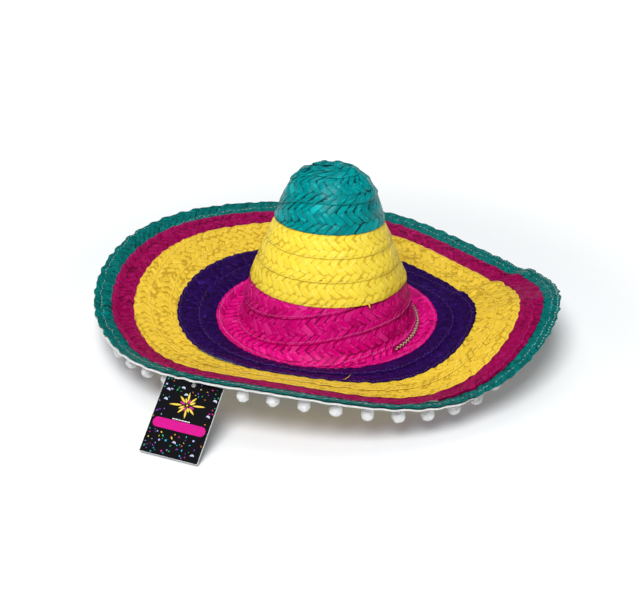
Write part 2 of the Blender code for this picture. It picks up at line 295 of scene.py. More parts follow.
def fibreGroup():
    # long plant fibres along a strip, from a vector in millimetres with X along the strip
    group, inside, out = newGroup("palmFibre", (
        ("Strand", "Vector", None), ("Spacing", "Float", 1.0), ("Contrast", "Float", 0.5),
    ), (("Fibres", "Float"), ("Blotches", "Float"), ("Height", "Float")))
    stretch = addNode(group, "VectorMath", {"operation": "MULTIPLY"}, i0=inside.outputs["Strand"], i1=(0.09, 2.6, 1.0))
    spaced = addNode(group, "VectorMath", {"operation": "SCALE"}, i0=stretch.outputs[0], Scale=inside.outputs["Spacing"])
    fine = addNode(group, "TexNoise", None, Vector=spaced.outputs[0], Scale=1.0, Detail=5.0, Roughness=0.62)
    long = addNode(group, "VectorMath", {"operation": "MULTIPLY"}, i0=inside.outputs["Strand"], i1=(0.45, 1.25, 1.0))
    wide = addNode(group, "TexNoise", None, Vector=long.outputs[0], Scale=0.30, Detail=4.0, Roughness=0.6)
    centred = mathNode(group, "SUBTRACT", fine.outputs["Fac"], 0.5)
    strong = mathNode(group, "MULTIPLY_ADD", centred, inside.outputs["Contrast"])
    strong.node.inputs[2].default_value = 0.5
    group.links.new(strong, out.inputs["Fibres"])
    group.links.new(wide.outputs["Fac"], out.inputs["Blotches"])
    group.links.new(fine.outputs["Fac"], out.inputs["Height"])
    return group


def shadeGroup():
    # one strip's own random tone, painted shade at its rim where it lies under its neighbour, and paler patches that
    # are partly uneven dye and partly painted sheen highlights
    group, inside, out = newGroup("dyedStripWithPaintedShade", (
        ("Dye", "Color", None), ("Pale", "Color", None), ("Deep", "Color", None),
        ("Shade", "Float", 0.5), ("Rim", "Float", 0.0), ("Fibres", "Float", 0.5), ("Blotches", "Float", 0.5),
        ("Patchy", "Float", 0.4), ("Rim Depth", "Float", 0.6),
    ), (("Color", "Color"), ("Gloss Mask", "Float")))
    said = inside.outputs
    # paler strips come from their random tone; pale patches are partly uneven dye and partly painted sheen highlights
    paleAmount = rampNode(group, said["Shade"], 0.55, 1.0)
    patches = mathNode(group, "MULTIPLY", rampNode(group, said["Blotches"], 0.50, 0.68), said["Patchy"])
    paleness = mathNode(group, "MAXIMUM", mathNode(group, "MULTIPLY", paleAmount, 0.62), patches, True)
    colour = mixNode(group, paleness, said["Dye"], said["Pale"])
    deepAmount = rampNode(group, mathNode(group, "SUBTRACT", 1.0, said["Shade"]), 0.5, 1.0)
    deepness = mathNode(group, "MULTIPLY", deepAmount, 0.8)
    colour = mixNode(group, deepness, colour, said["Deep"])
    streak = mathNode(group, "MULTIPLY_ADD", said["Fibres"], 0.9)
    streak.node.inputs[2].default_value = 0.55
    streakColour = addNode(group, "CombineColor", None, i0=streak, i1=streak, i2=streak).outputs[0]
    colour = mixNode(group, 1.0, colour, streakColour, "MULTIPLY")
    # painted shade: the strip's rim is darkened towards the deep colour where it lies under its neighbour
    colour = mixNode(group, mathNode(group, "MULTIPLY", said["Rim"], said["Rim Depth"]), colour, said["Deep"])
    group.links.new(colour, out.inputs["Color"])
    offRim = mathNode(group, "SUBTRACT", 1.0, said["Rim"])
    group.links.new(mathNode(group, "MULTIPLY", said["Fibres"], offRim), out.inputs["Gloss Mask"])
    return group


def twistGroup():
    # the turns of a twisted sewing thread, with painted shade in the grooves between turns and painted light on their
    # ridges
    group, inside, out = newGroup("threadTwist", (
        ("Place", "Vector", None), ("Dark", "Color", None), ("Light", "Color", None),
        ("Turns", "Float", 900.0), ("Fuzz", "Float", 500.0),
    ), (("Color", "Color"), ("Height", "Float")))
    said = inside.outputs
    wave = {"wave_type": "BANDS", "bands_direction": "DIAGONAL"}
    twist = addNode(group, "TexWave", wave, Vector=said["Place"], Scale=said["Turns"], Distortion=1.5, Detail=2.0)
    fuzz = addNode(group, "TexNoise", None, Vector=said["Place"], Scale=said["Fuzz"], Detail=3.0)
    amount = mathNode(group, "MULTIPLY", twist.outputs["Fac"], fuzz.outputs["Fac"])
    group.links.new(mixNode(group, amount, said["Dark"], said["Light"]), out.inputs["Color"])
    group.links.new(twist.outputs["Fac"], out.inputs["Height"])
    return group


def speckGroup():
    # fine grain of paper, film or yarn between a low and a full colour
    group, inside, out = newGroup("fineGrain", (
        ("Place", "Vector", None), ("Low", "Color", None), ("Full", "Color", None), ("Scale", "Float", 900.0),
        ("Detail", "Float", 4.0), ("Roughness", "Float", 0.6), ("From", "Float", 0.35), ("To", "Float", 0.65),
    ), (("Color", "Color"), ("Grain", "Float")))
    said = inside.outputs
    speck = addNode(
        group, "TexNoise", None, Vector=said["Place"], Scale=said["Scale"], Detail=said["Detail"], Roughness=said["Roughness"],
    ).outputs["Fac"]
    amount = rampNode(group, speck, said["From"], said["To"])
    group.links.new(mixNode(group, amount, said["Low"], said["Full"]), out.inputs["Color"])
    group.links.new(speck, out.inputs["Grain"])
    return group


palmFibre = fibreGroup()
dyedStripWithPaintedShade = shadeGroup()
threadTwist = twistGroup()
fineGrain = speckGroup()


def newMaterial(name):
    made = bpy.data.materials.new(name)
    made.use_nodes = True
    tree = made.node_tree
    return made, tree, tree.nodes["Principled BSDF"]


def groupNode(tree, group, **inputs):
    node = tree.nodes.new("ShaderNodeGroup")
    node.node_tree = group
    for key, value in inputs.items():
        socket = node.inputs[key.replace("_", " ")]
        if isinstance(value, bpy.types.NodeSocket):
            tree.links.new(value, socket)
        else:
            socket.default_value = value
    return node


strawLooks = {
    # dye, paler places (partly uneven dye, partly painted sheen highlights), deep colour (darker strips and painted
    # shade), roughness, share of pale patches, gloss, depth of the painted shade at the strips' rims, spread of shades,
    # relief
    "crown_teal": {
        "dye": (0.000, 0.215, 0.225), "pale": (0.00, 0.56, 0.56), "deep": (0.000, 0.035, 0.045),
        "rough": 0.27, "patchy": 0.55, "gloss": 0.11, "paintedShadeDepth": 0.90, "vary": 0.13, "relief": 1.25,
    },
    "crown_yellow": {
        "dye": (0.88, 0.68, 0.050), "pale": (0.97, 0.88, 0.26), "deep": (0.62, 0.40, 0.020),
        "rough": 0.45, "patchy": 0.45, "gloss": 0.15, "paintedShadeDepth": 0.50, "vary": 0.07, "relief": 0.65,
    },
    "crown_magenta": {
        "dye": (0.66, 0.000, 0.190), "pale": (0.97, 0.07, 0.44), "deep": (0.24, 0.000, 0.055),
        "rough": 0.36, "patchy": 0.55, "gloss": 0.09, "paintedShadeDepth": 0.70, "vary": 0.13, "relief": 1.15,
    },
    "brim_purple": {
        "dye": (0.016, 0.001, 0.060), "pale": (0.045, 0.012, 0.22), "deep": (0.005, 0.001, 0.015),
        "rough": 0.40, "patchy": 0.60, "gloss": 0.09, "paintedShadeDepth": 0.6, "vary": 0.10, "relief": 1.2,
    },
    "brim_yellow": {
        "dye": (0.80, 0.54, 0.040), "pale": (0.92, 0.76, 0.18), "deep": (0.46, 0.27, 0.015),
        "rough": 0.50, "patchy": 0.40, "gloss": 0.13, "paintedShadeDepth": 0.24, "vary": 0.07, "relief": 0.45,
    },
    "brim_magenta": {
        "dye": (0.28, 0.000, 0.068), "pale": (0.56, 0.02, 0.20), "deep": (0.09, 0.000, 0.020),
        "rough": 0.45, "patchy": 0.60, "gloss": 0.10, "paintedShadeDepth": 0.45, "vary": 0.09, "relief": 0.8,
    },
    "rim_teal": {
        "dye": (0.000, 0.125, 0.118), "pale": (0.00, 0.33, 0.31), "deep": (0.000, 0.022, 0.024),
        "rough": 0.38, "patchy": 0.60, "gloss": 0.12, "paintedShadeDepth": 0.6, "vary": 0.10, "relief": 1.2,
    },
}


def strawMaterial(name, look):
    made, tree, shader = newMaterial(name + "_dyed_straw")
    strand = addNode(tree, "UVMap", {"uv_map": "strand"})
    tint = addNode(tree, "Attribute", {"attribute_name": "strip"})
    parts = addNode(tree, "SeparateColor", None, i0=tint.outputs["Color"])
    fibre = groupNode(tree, palmFibre, Strand=strand.outputs[0], Spacing=1.0, Contrast=0.9)
    # the strip attribute brings each strip's random tone and the painted shade at its rims
    strip = groupNode(
        tree, dyedStripWithPaintedShade, Dye=(*look["dye"], 1), Pale=(*look["pale"], 1), Deep=(*look["deep"], 1),
        Shade=parts.outputs[0], Rim=parts.outputs[1], Fibres=fibre.outputs["Fibres"],
        Blotches=fibre.outputs["Blotches"], Patchy=look["patchy"], Rim_Depth=look["paintedShadeDepth"],
    )
    tree.links.new(strip.outputs["Color"], shader.inputs["Base Color"])
    dull, glossy = look["rough"] + 0.16, look["rough"] - 0.08
    rough = addNode(tree, "MapRange", None, i0=strip.outputs["Gloss Mask"], i1=0.2, i2=0.8, i3=dull, i4=glossy)
    tree.links.new(rough.outputs[0], shader.inputs["Roughness"])
    bump = addNode(tree, "Bump", None, Strength=0.35, Distance=0.0003, Height=fibre.outputs["Height"])
    tree.links.new(bump.outputs[0], shader.inputs["Normal"])
    shader.inputs["Specular IOR Level"].default_value = look["gloss"]
    return made


# meshes from arrays

def gridQuads(blocks, rows, columns, wrapRows=False, wrapColumns=False):
    # quads of many grids at once; each grid's points are numbered row by row
    down = np.arange(rows if wrapRows else rows - 1)
    side = np.arange(columns if wrapColumns else columns - 1)
    i, j = (part.ravel() for part in np.meshgrid(down, side, indexing="ij"))
    nextI, nextJ = (i + 1) % rows, (j + 1) % columns
    quad = np.stack([i * columns + j, i * columns + nextJ, nextI * columns + nextJ, nextI * columns + j], axis=-1)
    return (np.arange(blocks)[:, None, None] * rows * columns + quad).reshape(-1, 4)


def makePiece(name, points, faces, materials, body="hat", strip=None, strand=None, faceMaterial=None):
    mesh = bpy.data.meshes.new(name)
    mesh.from_pydata(np.asarray(points).reshape(-1, 3).tolist(), [], [list(face) for face in faces])
    for material in materials if isinstance(materials, (list, tuple)) else [materials]:
        mesh.materials.append(material)
    if faceMaterial is not None:
        mesh.polygons.foreach_set("material_index", np.asarray(faceMaterial, np.int32))
    if strip is not None:
        colour = mesh.color_attributes.new("strip", "FLOAT_COLOR", "POINT")
        colour.data.foreach_set("color", np.asarray(strip, np.float32).ravel())
    if strand is not None:
        layer = mesh.uv_layers.new(name="strand")
        corner = np.empty(len(mesh.loops), np.int32)
        mesh.loops.foreach_get("vertex_index", corner)
        layer.data.foreach_set("uv", np.asarray(strand, np.float32)[corner].ravel())
    mesh.shade_smooth()
    made = bpy.data.objects.new(name, mesh)
    bpy.context.scene.collection.objects.link(made)
    if body:
        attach(made, body)
    return made


def dropFlat(made):
    # removes faces that were squeezed to nothing under a neighbouring row
    bm = bmesh.new()
    bm.from_mesh(made.data)
    bmesh.ops.dissolve_degenerate(bm, dist=0.02 * mm, edges=bm.edges)
    bm.to_mesh(made.data)
    bm.free()
    made.data.shade_smooth()


# woven straw

weave = {
    "pitch": {"crown": 9.2 * mm, "brim": 9.6 * mm},  # from strip to strip along a plait
    "slope": 1.0,  # run of a strip for each step across the plait
    "bends": (0.385, 0.70),  # where the strips turn, as shares of the plait's width
    "bulge": 0.25 * mm,
    "edge": 0.13 * mm,
    "tuck": 0.34 * mm,  # how deep a strip's end dips under its neighbour
    "under": 1.3 * mm,
    "tilt": 0.19 * mm,  # each strip lies with one side under its neighbour
    "droop": 0.46 * mm,  # how far a row's outer hem turns down on to the next row
    "wander": 0.7 * mm,
    "seam": 2.7 * mm,  # hem to the row of stitches
    "seamDip": 0.26 * mm, "seamWidth": 1.1 * mm,
    "hemWidth": 1.9 * mm, "hemTurn": 1.6 * mm,
    "fold": 0.9 * mm,  # width of the rounded edge where the strips turn back
    "fill": (0.99, 1.07),  # widths of the strips, as shares of their pitch
    "rock": 0.07 * mm,
    "core": 0.12 * mm,
}


def stripZone(lay, pitch, zone, count, vary, relief):
    # points of every strip of one of the plait's three zones
    width = lay["width"]
    bends = [share * width for share in weave["bends"]]
    edges = (0.0, bends[0], bends[1], width)
    direction = (1, -1, 1)[zone]
    slope = weave["slope"]
    index = np.arange(count) - 2
    offset = (0.0, 0.5 * pitch, 0.5 * pitch - slope * (bends[1] - bends[0]) + 0.5 * pitch)[zone]
    hinge = bends[0] if zone < 2 else bends[1]
    start = index * pitch + offset
    across = np.array((-1.0, -0.82, 0.0, 0.82, 1.0))
    steps = np.array((0.0, 0.07, 0.25, 0.45, 0.65, 0.82, 0.93, 1.0))
    fill = chance.uniform(*weave["fill"], count)
    half = across[None, None, :] * fill[:, None, None]
    squareTop, squareEnd = zone > 0, zone < 2
    cut = -direction * across[None, None, :] * pitch / (4 * slope)
    top = edges[zone] + (cut if squareTop else 0.0) - (weave["under"] if zone == 2 else 0.0)
    end = edges[zone + 1] + (cut if squareEnd else 0.0) + (weave["under"] if zone < 2 else 0.0)
    if not squareTop:
        top = top + 0.3 * mm * across**2
    if not squareEnd:
        end = end - 0.35 * mm * across**2
    t = top + (end - top) * steps[None, :, None]
    t = np.broadcast_to(t, (count, len(steps), len(across)))
    s = start[:, None, None] + direction * slope * (t - hinge) + half * pitch / 2
    s = s + weave["wander"] * (np.sin(s / (13 * mm) + 4 * t / width) + 0.6 * np.sin(s / (5.1 * mm) + 2.0)) * 0.6
    body = weave["edge"] + relief * weave["bulge"] * (1 - np.abs(across)[None, None, :] ** 4)
    body = np.broadcast_to(body, t.shape).copy()
    lean = -(relief * weave["tilt"] * (1.0 + 0.35 * chance.standard_normal(count)))[:, None, None]
    lift = lean * across[None, None, :] + (weave["rock"] * chance.standard_normal(count))[:, None, None]
    step = np.broadcast_to(steps[None, :, None], t.shape)
    if zone < 2:
        lift = lift - weave["tuck"] * ease((step - 0.70) / 0.30)
    if zone == 1:
        lift = lift + 0.14 * mm * ease(1 - step / 0.5)
    if zone == 2:
        lift = lift - weave["tuck"] * ease(1 - step / 0.22)
    rim = ease(1 - np.minimum(t, width - t) / weave["fold"])
    body *= 1 - 0.45 * rim
    lift = lift * (1 - rim)
    fromSeam = (width - t - weave["seam"]) / weave["seamWidth"]
    dip = np.exp(-fromSeam**2)
    lift = lift - dip * (weave["seamDip"] + 0.10 * mm * np.sin(s * 2 * math.pi / (2.9 * mm)))
    lift = lift - weave["droop"] * ease((t - width + weave["hemWidth"]) / weave["hemTurn"])
    # painted shade: darker where a strip's low side lies under its neighbour, and at its ends where it tucks under
    side = 0.50 * ease((across - 0.66) / 0.34) + 0.25 * ease((-across - 0.82) / 0.18)
    paintedShade = np.broadcast_to(side[None, None, :], t.shape)
    corner = 0.40 + 0.60 * ease((across[None, None, :] + 0.3) / 0.9)
    if zone < 2:
        paintedShade = np.maximum(paintedShade, corner * ease((step - 0.80) / 0.15))
    if zone == 2:
        paintedShade = np.maximum(paintedShade, corner * ease(1 - step / 0.14))
    shade = np.clip(0.5 + vary * chance.standard_normal(count), 0.0, 1.0)[:, None, None]
    return {
        "s": s, "t": t, "lift": lift, "body": body, "paintedShade": paintedShade,
        "shade": np.broadcast_to(shade, t.shape), "across": across, "pitch": pitch,
    }


def stripMesh(lay, zone):
    s, t = zone["s"], zone["t"]
    topPoints, inside, outside = placeOn(lay, s, t, zone["lift"] + zone["body"])
    lowPoints, _, _ = placeOn(lay, s, t, zone["lift"] - zone["body"])
    count, rows, columns = t.shape
    seen = (inside.max(axis=(1, 2)) > 0.4 * mm) & (outside.max(axis=(1, 2)) > 0.4 * mm)
    seen &= (s.min(axis=(1, 2)) > 0) & (s.max(axis=(1, 2)) < lay["arc"][-1])
    middle = columns // 2
    loop = np.concatenate([topPoints, lowPoints[:, :, ::-1]], axis=2)[seen]  # a ring round the strip at each step
    ringSize = 2 * columns
    faces = gridQuads(len(loop), rows, ringSize, wrapColumns=True)
    base = np.arange(len(loop))[:, None, None] * rows * ringSize
    i = np.arange(columns - 1)
    near = np.stack([i, ringSize - 1 - i, ringSize - 2 - i, i + 1], axis=-1)
    far = (rows - 1) * ringSize + near[:, ::-1]
    caps = np.concatenate([(base + near).reshape(-1, 4), (base + far).reshape(-1, 4)])

    def both(values):
        return np.concatenate([values, values[:, :, ::-1]], axis=2)[seen]

    random = chance.uniform(0, 1, count)[:, None, None] + 0 * t
    # strip attribute: random tone, painted shade, a random number and one
    strip = np.stack([both(zone["shade"]), both(zone["paintedShade"]), both(random), both(1 + 0 * t)], axis=-1)
    length = (t - t[:, :1, middle:middle + 1]) * 1.41 / mm
    side = zone["across"][None, None, :] * zone["pitch"] * 0.35 / mm + 0 * t
    strand = np.stack([both(length + random * 400), both(side + random * 270)], axis=-1)
    return loop.reshape(-1, 3), np.concatenate([faces, caps]), strip.reshape(-1, 4), strand.reshape(-1, 2)


def coreMesh(lay):
    # a thin sheet inside the plait, coloured as painted shade, seen only between strips
    s = np.arange(0, lay["arc"][-1], 4 * mm)
    t = np.linspace(0.4 * mm, lay["width"] - 0.6 * mm, 7)
    grid = np.broadcast_arrays(s[:, None], t[None, :])
    dip = -weave["seamDip"] * np.exp(-((lay["width"] - grid[1] - weave["seam"]) / weave["seamWidth"]) ** 2)
    dip = dip - weave["droop"] * ease((grid[1] - lay["width"] + weave["hemWidth"]) / weave["hemTurn"])
    top, _, _ = placeOn(lay, *grid, dip + weave["core"])
    low, _, _ = placeOn(lay, *grid, dip - weave["core"])
    loop = np.concatenate([top, low[:, ::-1]], axis=1)
    faces = gridQuads(1, len(s), 2 * len(t), wrapColumns=True).tolist()
    ends = [list(range(2 * len(t)))[::-1], [(len(s) - 1) * 2 * len(t) + k for k in range(2 * len(t))]]
    count = loop.shape[0] * loop.shape[1]
    # low tone and strong painted shade, so the gaps between strips read as shade
    strip = np.tile((0.1, 0.9, 0.5, 1.0), (count, 1))
    strand = np.stack([np.repeat(s, 2 * len(t)), np.tile(np.concatenate([t, t[::-1]]), len(s))], axis=-1) / mm
    return loop.reshape(-1, 3), faces + ends, strip, strand


def weavePlait(plait, lay):
    pitch = weave["pitch"]["crown" if plait["name"].startswith("crown") else "brim"]
    count = int(lay["arc"][-1] / pitch) + 6
    points, faces, strips, strands, base = [], [], [], [], 0
    look = strawLooks[plait["name"]]
    zones = [stripMesh(lay, stripZone(lay, pitch, zone, count, look["vary"], look["relief"])) for zone in range(3)]
    for made in zones + [coreMesh(lay)]:
        points.append(made[0])
        faces += [[int(v) + base for v in face] for face in made[1]]
        strips.append(made[2])
        strands.append(made[3])
        base += len(made[0])
    piece = makePiece(
        plait["name"] + "_straw", np.concatenate(points), faces, strawMaterial(plait["name"], look),
        strip=np.concatenate(strips), strand=np.concatenate(strands),
    )
    dropFlat(piece)
    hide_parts(plait["node"])
    return piece


layouts = {}
for i, plait in enumerate(plaits):
    layouts[plait["name"]] = layPlait(plait, plaits[i + 1] if i + 1 < len(plaits) else None)
    weavePlait(plait, layouts[plait["name"]])
print("straw woven")


# seam threads

threads = {
    # colour, stitch length, gap, radius, slant across the seam
    "crown_teal": {
        "colour": (0.01, 0.30, 0.30),
        "stitch": 3.4 * mm, "gap": 0.9 * mm, "radius": 0.24 * mm, "slant": 0.35 * mm,
    },
    "crown_yellow": {
        "colour": (0.62, 0.42, 0.05),
        "stitch": 3.4 * mm, "gap": 1.6 * mm, "radius": 0.20 * mm, "slant": 0.25 * mm,
    },
    "crown_magenta": {
        "colour": (0.80, 0.13, 0.42),
        "stitch": 3.1 * mm, "gap": 0.15 * mm, "radius": 0.36 * mm, "slant": 0.75 * mm,
    },
    "brim_purple": {
        "colour": (0.11, 0.06, 0.24),
        "stitch": 3.8 * mm, "gap": 0.5 * mm, "radius": 0.32 * mm, "slant": 0.35 * mm,
    },
    "brim_yellow": {
        "colour": (0.55, 0.38, 0.10),
        "stitch": 3.6 * mm, "gap": 0.6 * mm, "radius": 0.24 * mm, "slant": 0.25 * mm,
    },
    "brim_magenta": {
        "colour": (0.42, 0.05, 0.16),
        "stitch": 3.4 * mm, "gap": 1.2 * mm, "radius": 0.24 * mm, "slant": 0.25 * mm,
    },
    "rim_teal": {
        "colour": (0.60, 0.70, 0.66),
        "stitch": 5.0 * mm, "gap": 0.1 * mm, "radius": 0.30 * mm, "slant": 0.10 * mm,
    },
}


def threadMaterial(name, colour, shine=0.5):
    made, tree, shader = newMaterial(name)
    place = addNode(tree, "TexCoord").outputs["Object"]
    # shaded and lit copies of the thread's colour: painted shade and painted light along its turns
    paintedShade, light = (tuple(min(1.0, c * share) for c in colour) for share in (0.55, 1.15))
    twist = groupNode(tree, threadTwist, Place=place, Dark=(*paintedShade, 1), Light=(*light, 1))
    tree.links.new(twist.outputs["Color"], shader.inputs["Base Color"])
    bump = addNode(tree, "Bump", None, Strength=0.5, Distance=0.0001, Height=twist.outputs["Height"])
    tree.links.new(bump.outputs[0], shader.inputs["Normal"])
    shader.inputs["Roughness"].default_value = shine
    shader.inputs["Specular IOR Level"].default_value = 0.25
    return made


def tubes(paths, normals, radius, sides=6):
    # closed tubes along many paths at once: paths has the shape (tube, ring, xyz)
    tangent = np.gradient(paths, axis=1)
    tangent /= np.linalg.norm(tangent, axis=-1, keepdims=True)
    side = np.cross(tangent, normals)
    side /= np.linalg.norm(side, axis=-1, keepdims=True)
    up = np.cross(side, tangent)
    turn = np.arange(sides) * 2 * math.pi / sides
    radius = np.broadcast_to(radius, paths.shape[:2])[..., None, None]
    around = np.cos(turn)[:, None] * side[:, :, None] + np.sin(turn)[:, None] * up[:, :, None]
    ring = paths[:, :, None] + radius * around
    count, rings = paths.shape[:2]
    faces = gridQuads(count, rings, sides, wrapColumns=True).tolist()
    for k in range(count):
        first = k * rings * sides
        last = first + (rings - 1) * sides
        faces.append([first + v for v in range(sides)][::-1])
        faces.append([last + v for v in range(sides)])
    return ring.reshape(-1, 3), faces


def stitchPaths(lay, spec, across, fromArc, toArc, wave=0.0):
    step = spec["stitch"] + spec["gap"]
    middle = np.arange(fromArc, toArc, step)
    reach = np.linspace(-0.5, 0.5, 7)
    s = middle[:, None] + reach * spec["stitch"]
    t = across + spec["slant"] * 2 * reach[None, :] + 0.12 * mm * chance.standard_normal(len(middle))[:, None]
    t = t + wave * np.sin(s / (7 * mm)) * np.sin(s / (31 * mm))
    uneven = 0.04 * mm * chance.standard_normal(len(middle))[:, None]
    height = 0.30 * mm - 0.62 * mm * np.abs(2 * reach[None, :]) ** 3 + uneven
    path, inside, outside = placeOn(lay, s, t, height - 0.06 * mm)
    total = np.interp(s, lay["arc"], lay["total"])
    along = np.interp(total, lay["total"], lay["base"]) + t
    shown = (outside.min(axis=1) > 0.3 * mm) & (inside.min(axis=1) > 0.3 * mm)
    return path[shown], hatNormal(along, np.radians(lay["join"] - total))[shown]


for plait in plaits:
    lay, spec = layouts[plait["name"]], threads[plait["name"]]
    rimWave = plait["name"] == "rim_teal"
    across = lay["width"] - (weave["seam"] if not rimWave else 8.5 * mm)
    path, up = stitchPaths(lay, spec, across, 4 * mm, lay["arc"][-1] - 4 * mm, 0.8 * mm if rimWave else 0.0)
    points, faces = tubes(path, up, spec["radius"] * (1 - 0.25 * np.abs(np.linspace(-1, 1, 7)) ** 2))
    piece = makePiece(plait["name"] + "_seam", points, faces, threadMaterial(plait["name"] + "_thread", spec["colour"]))
print("seams sewn")

chain = {
    "fromAngle": 315, "toAngle": 374, "inset": (2.5 * mm, 7.0 * mm), "link": 5.6 * mm,
    "swing": 1.5 * mm, "radius": 0.55 * mm, "lift": 3.1 * mm,
    "colours": ((0.80, 0.66, 0.42), (0.07, 0.03, 0.02)),
}


def chainStitch():
    # two cords of different colour worked in a zigzag along the foot of the crown
    length = math.radians(chain["toAngle"] - chain["fromAngle"]) * ringRadius
    count = int(length / chain["link"]) * 16
    share = np.linspace(0, 1, count)
    angle = np.radians(chain["fromAngle"] + (chain["toAngle"] - chain["fromAngle"]) * share)
    wave = share * length / chain["link"] * 2 * math.pi
    for k, colour in enumerate(chain["colours"]):
        along = ringAlong - np.interp(share, (0, 1), chain["inset"]) + chain["swing"] * np.sin(wave + k * math.pi)
        lift = chain["lift"] + 0.35 * mm * np.cos(wave * 2 + k * math.pi)
        path = onHat(along, angle, lift)
        thick = chain["radius"] * (0.8 + 0.2 * np.cos(wave))
        points, faces = tubes(path[None], hatNormal(along, angle)[None], thick, 8)
        piece = makePiece(f"chain_stitch_{k + 1}", points, faces, threadMaterial(f"chain_thread_{k + 1}", colour))


edgeStitch = {
    "fromAngle": -32, "toAngle": 38, "step": 4.6 * mm, "length": 1.2 * mm,
    "radius": 0.28 * mm, "inset": 2.3 * mm, "colour": (0.84, 0.87, 0.85),
}


def edgeStitches():
    # white stitches over the rim, where the trim is sewn further in
    spec = edgeStitch
    angle = np.radians(np.arange(spec["fromAngle"], spec["toAngle"], math.degrees(spec["step"] / rimRadius)))
    reach = np.linspace(-0.5, 0.5, 7)[None, :]
    along = rimAlong - spec["inset"] + spec["length"] * reach + 0 * angle[:, None]
    lean = angle[:, None] + 0.8 * mm / rimRadius * reach
    lift = hatForm["rise"] + hatForm["thickness"] - 0.05 * mm - 0.6 * mm * (2 * reach) ** 2
    path = onHat(along, lean, lift)
    points, faces = tubes(path, hatNormal(along, lean), spec["radius"])
    piece = makePiece("rim_edge_stitches", points, faces, threadMaterial("white_sewing_thread", spec["colour"]))


looseStraws = (
    # plait, direction, row hem counted from the plait's start, length, height, lean along the row
    {
        "name": "brim_yellow", "angle": 276.0, "hem": 0,
        "length": 9.0 * mm, "height": 4.2 * mm, "lean": 0.8, "width": 1.0 * mm,
    },
    {
        "name": "crown_yellow", "angle": 300.0, "hem": 3,
        "length": 4.0 * mm, "height": 0.8 * mm, "lean": 0.1, "width": 2.6 * mm,
    },
)


def looseEnds():
    for k, spec in enumerate(looseStraws):
        lay = layouts[spec["name"]]
        hem = lay["start"] + (lay["end"] - lay["start"]) * spec["hem"] / lay["rows"]
        share = np.linspace(0, 1, 10)
        radius = np.interp(hem, alongTable, radiusTable)
        angle = math.radians(spec["angle"]) + spec["lean"] * spec["length"] * share / radius
        way = 1 if spec["hem"] > 1 else -1
        along = hem - 1.5 * mm + (spec["length"] * (1 - spec["lean"]) + 1.5 * mm) * share * way
        lift = 2 * hatForm["rise"] + spec["height"] * share**1.5
        middle = onHat(along, angle, lift)
        side = np.gradient(middle, axis=0)
        side = np.cross(side, hatNormal(along, angle))
        side /= np.linalg.norm(side, axis=-1, keepdims=True)
        half = spec["width"] / 2 * (1 - 0.8 * share**2)[:, None]
        up = hatNormal(along, angle) * 0.12 * mm
        ring = np.stack([middle + side * half, middle + up, middle - side * half, middle - up], axis=1)
        faces = gridQuads(1, 10, 4, wrapColumns=True).tolist() + [[3, 2, 1, 0], [36, 37, 38, 39]]
        strip = np.tile((0.6, 0.0, 0.5, 1.0), (40, 1))
        strand = np.stack([np.repeat(share * spec["length"] / mm, 4), np.tile((0.0, 1.0, 2.0, 3.0), 10)], axis=-1)
        look = bpy.data.materials[spec["name"] + "_dyed_straw"]
        piece = makePiece(f"loose_straw_{k + 1}", ring, faces, look, strip=strip, strand=strand)


chainStitch()
edgeStitches()
looseEnds()
print("loose ends and chain stitch added")


# trim under the rim: a looped braid with a pom-pom on each stem

braid = {
    "inset": 1.0 * mm, "width": 12.5 * mm, "thickness": 1.0 * mm, "gap": 0.3 * mm,
    "stray": 9.5 * mm, "strayMiddle": 355, "strayReach": (36, 58),  # sewn further in on the hat's left side
    "loop": 3.4 * mm,  # from loop to loop along its edges
    "reach": 1.0 * mm, "cord": 0.50 * mm, "hang": 0.55 * mm, "colour": (0.86, 0.86, 0.85),
}


def yarnMaterial(name, colour, scale, rough):
    made, tree, shader = newMaterial(name)
    place = addNode(tree, "TexCoord").outputs["Object"]
    low = (*(0.80 * c for c in colour), 1)
    creamy = (*(0.9 * c for c in colour[:2]), 0.82 * colour[2], 1)
    fine = groupNode(
        tree, fineGrain, Place=place, Low=low, Full=(*colour, 1), Scale=scale, Detail=6.0, Roughness=0.7, From=0.3,
    )
    broad = addNode(tree, "TexNoise", None, Vector=place, Scale=scale * 0.12, Detail=2.0)
    mixed = mixNode(tree, mathNode(tree, "MULTIPLY", broad.outputs["Fac"], 0.12), fine.outputs["Color"], creamy)
    tree.links.new(mixed, shader.inputs["Base Color"])
    bump = addNode(tree, "Bump", None, Strength=0.6, Distance=0.0003, Height=fine.outputs["Grain"])
    tree.links.new(bump.outputs[0], shader.inputs["Normal"])
    shader.inputs["Roughness"].default_value = rough
    shader.inputs["Specular IOR Level"].default_value = 0.15
    shader.inputs["Sheen Weight"].default_value = 0.15
    shader.inputs["Sheen Roughness"].default_value = 0.5
    return made


whiteYarn = yarnMaterial("white_pom_yarn", (0.90, 0.90, 0.90), 1400.0, 0.95)
whiteBraid = yarnMaterial("white_braid_cotton", braid["colour"], 900.0, 0.85)


def braidEdge(angle):
    away = np.abs((np.degrees(angle) - braid["strayMiddle"] + 180) % 360 - 180)
    full, ends = braid["strayReach"]
    return rimAlong - braid["inset"] - braid["stray"] * ease((ends - away) / (ends - full))


